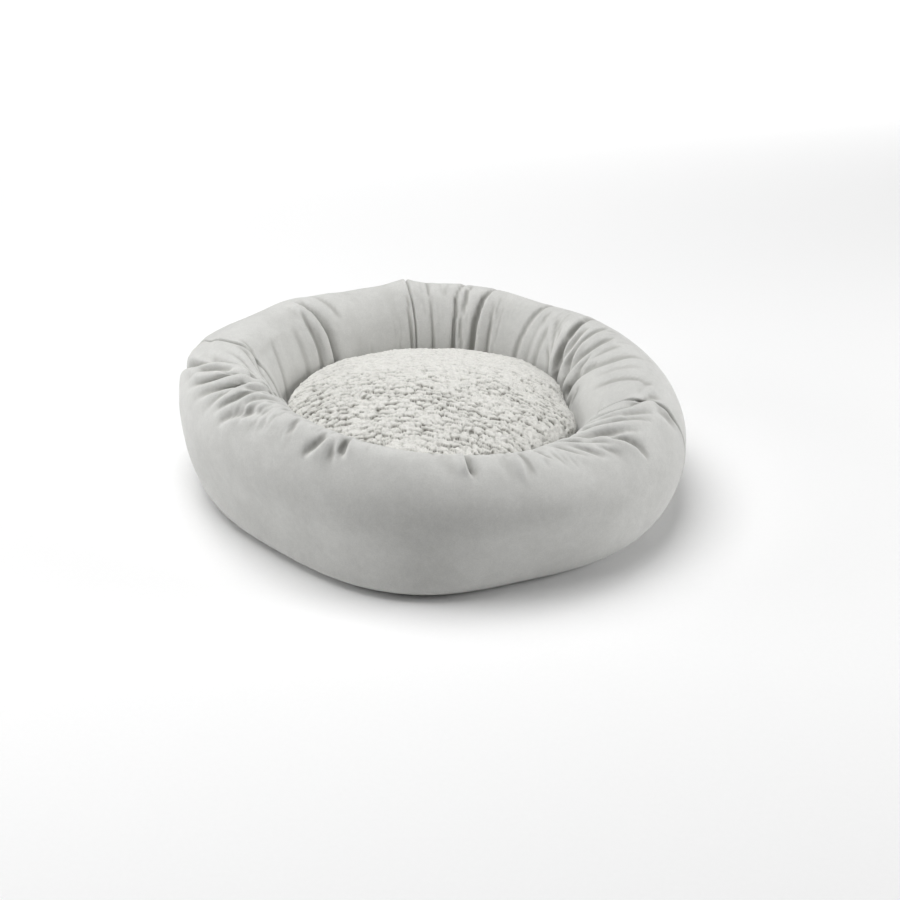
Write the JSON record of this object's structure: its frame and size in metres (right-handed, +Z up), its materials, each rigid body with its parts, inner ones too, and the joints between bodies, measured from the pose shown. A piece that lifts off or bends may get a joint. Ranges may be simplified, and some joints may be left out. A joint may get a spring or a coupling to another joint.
{
  "type": "pet cushion bed",
  "caption": "Round pet bed with a stuffed, gathered velour bolster ring around a lift-out fleece cushion that closes with a zip underneath.",
  "frame": {"origin": "on the floor, at the centre of the round base", "axes": "+Z up; -Y towards the front of the bed, the side that is seen; +X to the right seen from the front; the cushion's zip runs along X and closes towards +X"},
  "size_m": [0.5, 0.5, 0.145],
  "materials": {
    "cover_velour": "brushed short-pile velour, light grey",
    "sherpa": "long curled fleece, off-white",
    "base_cloth": "plain woven underside with grip dots",
    "floor_cloth": "plain woven polyester",
    "liner_cloth": "non-woven liner, white",
    "fibre": "loose polyester fibre, white",
    "wadding": "needled polyester wadding, white",
    "elastic": "covered flat elastic, off-white",
    "label_satin": "woven satin, blank",
    "zip_tape": "woven zip tape, light grey",
    "zip_nylon": "coiled nylon monofilament",
    "zip_metal": "painted die-cast zinc"
  },
  "bodies": {
    "bed": {"base_panel": "base_cloth", "base_wadding": "wadding", "floor_panel": "floor_cloth", "bolster_panel_front": "cover_velour", "bolster_panel_back_left": "cover_velour", "bolster_panel_back_right": "cover_velour", "bolster_fill": "fibre", "inner_seam_elastic": "elastic", "care_label": "label_satin"},
    "cushion": {"cushion_top_panel": "sherpa", "cushion_base_panel_front": "cover_velour", "cushion_base_panel_rear": "cover_velour", "cushion_liner": "liner_cloth", "cushion_fill": "fibre", "zip_tape_front": "zip_tape", "zip_tape_rear": "zip_tape", "zip_coil_front": "zip_nylon", "zip_coil_rear": "zip_nylon", "zip_top_stops": "zip_metal", "zip_bottom_stop": "zip_metal"},
    "zip_slider": {"zip_slider": "zip_metal", "zip_pull": "zip_metal"}
  },
  "joints": [
    {"name": "cushion_lift", "type": "slide", "parent": "bed", "child": "cushion", "axis": [0, 0, 1], "range_m": [0, 0.15]},
    {"name": "zip_slide", "type": "slide", "parent": "cushion", "child": "zip_slider", "axis": [-1, 0, 0], "range_m": [0, 0.174]}
  ]
}
